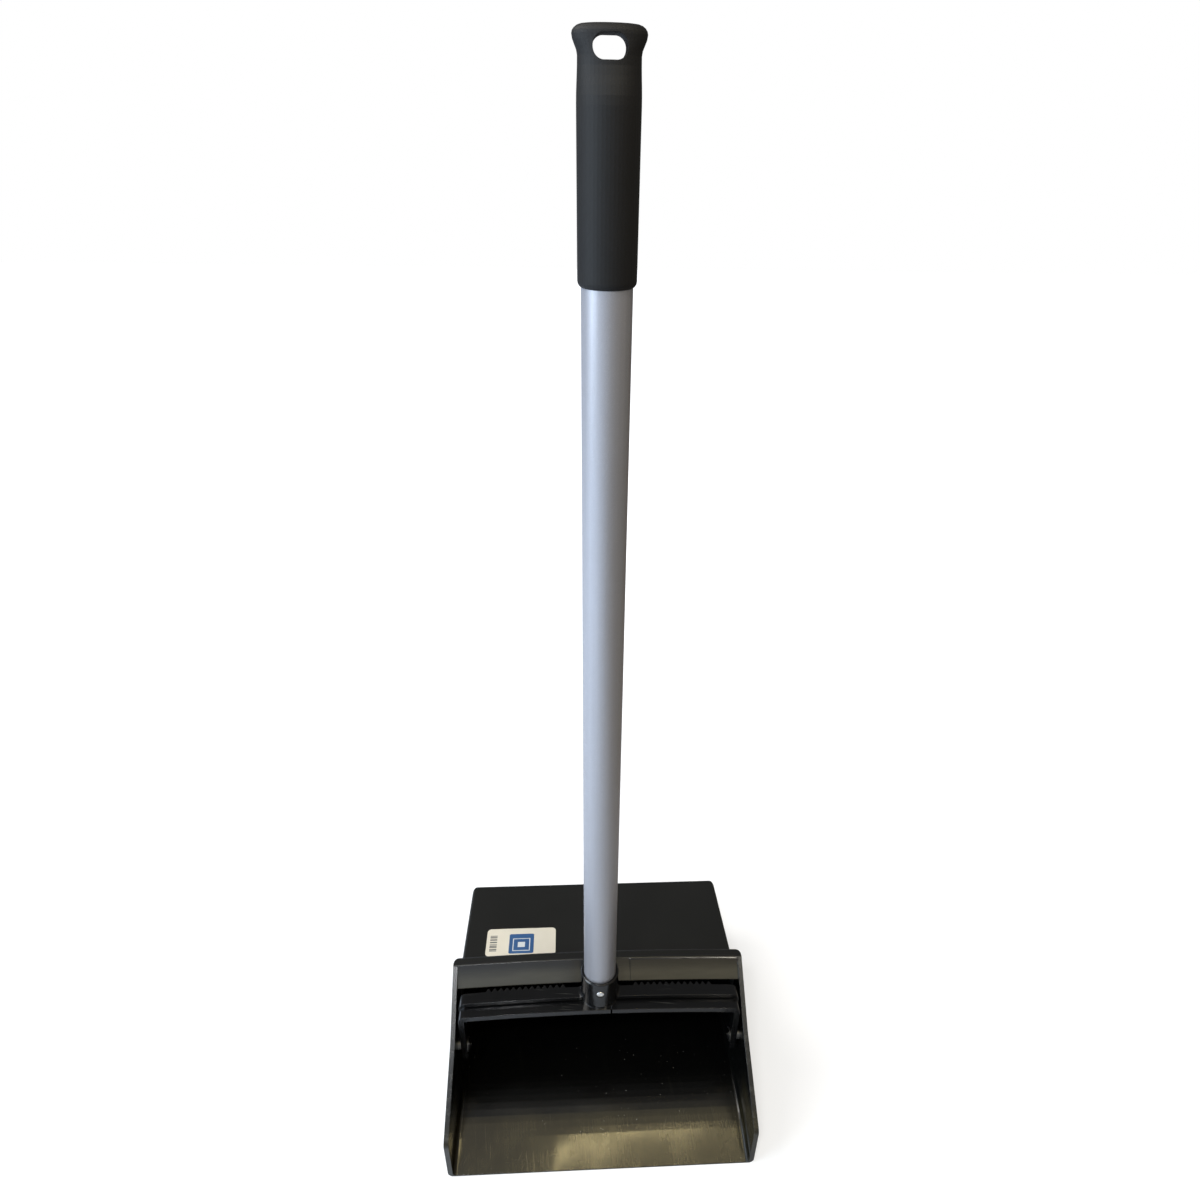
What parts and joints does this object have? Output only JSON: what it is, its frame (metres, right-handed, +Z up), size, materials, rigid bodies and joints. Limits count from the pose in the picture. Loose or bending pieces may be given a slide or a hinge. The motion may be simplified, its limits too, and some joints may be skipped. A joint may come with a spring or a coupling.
{
  "type": "long-handled lobby dust pan",
  "caption": "Upright dust pan: a hooded moulded pan with a ramped floor, hinged by two rivets to a toothed yoke that carries a tube handle with a hanging grip.",
  "frame": {"origin": "middle of the footprint on the ground, with the handle parked upright", "axes": "+Z up along the handle, +X across the mouth, the lip faces -Y and the hooded bin +Y"},
  "size_m": [0.312, 0.2929, 0.9545],
  "materials": {
    "pan_plastic": "satin moulded black polypropylene",
    "yoke_plastic": "semi-gloss moulded black plastic",
    "grip_plastic": "satin black plastic",
    "tube_aluminium": "satin silver anodised",
    "rivet_metal": "bright, lightly worn",
    "spacer_metal": "bright",
    "washer_metal": "plain",
    "blind_rivet_metal": "bright"
  },
  "bodies": {
    "pan_body": {"pan": "pan_plastic", "pivot_rivet_left": "rivet_metal", "pivot_rivet_right": "rivet_metal", "pivot_spacer_left": "spacer_metal", "pivot_spacer_right": "spacer_metal", "pivot_washer_left": "washer_metal", "pivot_washer_right": "washer_metal"},
    "handle": {"yoke": "yoke_plastic", "socket_rivet": "blind_rivet_metal", "handle_tube": "tube_aluminium", "grip": "grip_plastic"}
  },
  "joints": [
    {"name": "handle_tilt", "type": "hinge", "parent": "pan_body", "child": "handle", "pos_m": [0, -0.0579, 0.0864], "axis": [1, 0, 0], "range_deg": [0, 95.5]}
  ]
}
